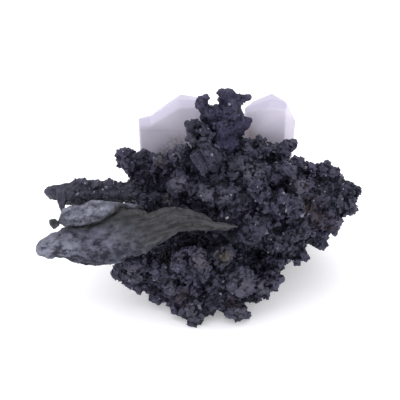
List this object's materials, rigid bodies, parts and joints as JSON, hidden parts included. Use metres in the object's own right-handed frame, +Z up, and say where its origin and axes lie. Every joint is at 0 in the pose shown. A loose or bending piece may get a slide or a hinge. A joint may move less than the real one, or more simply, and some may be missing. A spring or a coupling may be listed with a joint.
{
  "type": "native silver specimen",
  "caption": "Cabinet mineral specimen: a hackly mass of tarnished native silver with a spire, an arm and flat silver blades, grown against milky calcite crystals.",
  "frame": {"origin": "middle of the specimen's box, on the flat face that it rests on", "axes": "+Z up; +X along the length, from the blades towards the wing; +Y from the silver front towards the calcite at the back"},
  "size_m": [0.0816, 0.0506, 0.0522],
  "materials": {
    "tarnished_silver": "blue-black sulphide tarnish on hackly crystals, with small bright glints",
    "arm_silver": "grey-black tarnish, smoother on its upper side",
    "blade_silver": "blue-grey to olive-grey patina with a grain along the blade",
    "milky_calcite": "milky, waxy lustre, faint growth lines"
  },
  "bodies": {
    "root": {"silver_mass": "tarnished_silver", "silver_spire": "tarnished_silver", "silver_arm": "arm_silver", "silver_blade_large": "blade_silver", "silver_blade_small": "blade_silver", "calcite_left": "milky_calcite", "calcite_right": "milky_calcite"}
  },
  "joints": []
}
